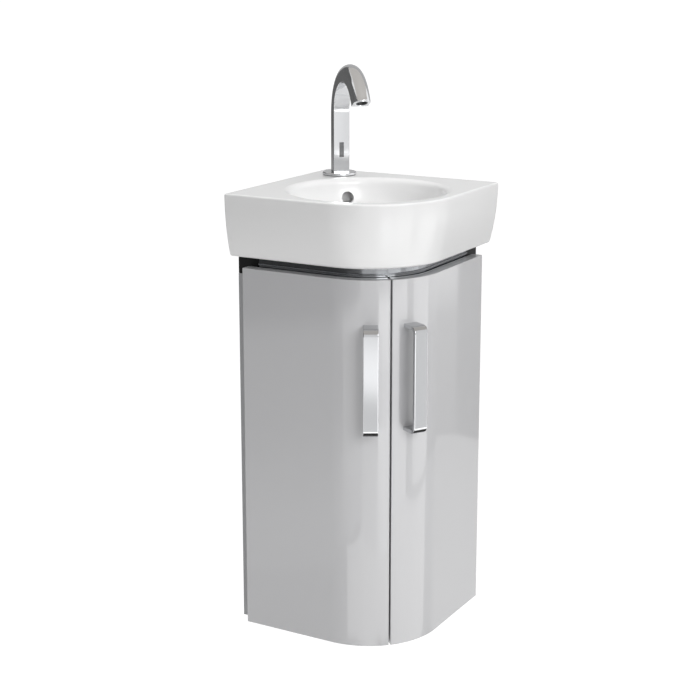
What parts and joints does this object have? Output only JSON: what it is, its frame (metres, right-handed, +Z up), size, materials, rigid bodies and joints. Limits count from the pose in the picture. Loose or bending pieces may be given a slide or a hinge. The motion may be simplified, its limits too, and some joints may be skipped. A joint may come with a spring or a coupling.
{
  "type": "corner vanity unit",
  "caption": "Wall-hung corner cabinet with curved doors and strap handles, under a corner hand basin with an arched sensor tap, a waste and a bottle trap.",
  "frame": {"origin": "the line where the two room walls meet, at the height of the doors' lower edge", "axes": "+Z up; +X along the right wall, away from the room corner; the left wall runs along -Y, so the body lies in +X and -Y and the doors face -Y and +X"},
  "size_m": [0.3125, 0.3375, 0.8785],
  "materials": {
    "door_lacquer": "high-gloss grey lacquer on MDF",
    "carcass_board": "satin grey melamine-faced board",
    "beech": "raw beech dowel",
    "glazed_basin": "white glazed fine fireclay",
    "chrome_tap": "polished chrome",
    "chrome_handle": "polished chrome",
    "chrome_waste": "polished chrome on brass",
    "trim_aluminium": "polished anodised strip",
    "hinge_steel": "nickel-plated steel",
    "fastener_steel": "zinc-plated steel",
    "brass_nickel": "nickel-plated brass",
    "black_plastic": "satin moulded black",
    "sensor_black": "dark infrared window",
    "seal_rubber": "black rubber",
    "buffer_clear": "soft clear buffer"
  },
  "bodies": {
    "cabinet": {"side_panel_left": "carcass_board", "side_panel_right": "carcass_board", "hinge_stile_left": "carcass_board", "hinge_stile_right": "carcass_board", "wall_rail_left": "carcass_board", "wall_rail_right": "carcass_board", "bottom_panel": "carcass_board", "shelf": "carcass_board", "shelf_pins": "fastener_steel", "dowels": "beech", "top_frame": "carcass_board", "trim_band": "trim_aluminium", "end_block_left": "black_plastic", "end_block_right": "black_plastic", "hinge_plates_left": "hinge_steel", "hinge_plates_right": "hinge_steel", "hinge_arms_left": "hinge_steel", "hinge_arms_right": "hinge_steel", "hinge_screws_left": "fastener_steel", "hinge_screws_right": "fastener_steel", "basin": "glazed_basin", "tap_gasket": "seal_rubber", "tap_base_ring": "chrome_tap", "tap_body": "chrome_tap", "sensor_window": "sensor_black", "aerator_housing": "chrome_tap", "aerator_jet": "black_plastic", "tap_shank": "brass_nickel", "shank_washer": "fastener_steel", "shank_nut": "brass_nickel", "inlet_nipple": "brass_nickel", "waste_flange": "chrome_waste", "waste_grid": "chrome_waste", "waste_seal": "seal_rubber", "waste_ring_nut": "brass_nickel", "waste_tail": "brass_nickel", "trap_inlet_nut": "chrome_waste", "trap_dip_pipe": "chrome_waste", "trap_head": "chrome_waste", "trap_cup": "chrome_waste", "trap_outlet_nut": "chrome_waste", "outlet_pipe": "chrome_waste", "wall_rosette": "chrome_waste"},
    "left_door": {"door_left": "door_lacquer", "handle_left": "chrome_handle", "handle_screws_left": "fastener_steel", "hinge_cups_left": "hinge_steel", "hinge_pins_left": "hinge_steel", "cup_screws_left": "fastener_steel", "door_buffers_left": "buffer_clear"},
    "right_door": {"door_right": "door_lacquer", "handle_right": "chrome_handle", "handle_screws_right": "fastener_steel", "hinge_cups_right": "hinge_steel", "hinge_pins_right": "hinge_steel", "cup_screws_right": "fastener_steel", "door_buffers_right": "buffer_clear"}
  },
  "joints": [
    {"name": "left_door_hinge", "type": "hinge", "parent": "cabinet", "child": "left_door", "pos_m": [0.0285, -0.2875, 0.285], "axis": [0, 0, -1], "range_deg": [0, 90]},
    {"name": "right_door_hinge", "type": "hinge", "parent": "cabinet", "child": "right_door", "pos_m": [0.2875, -0.0285, 0.285], "axis": [0, 0, 1], "range_deg": [0, 90]}
  ]
}
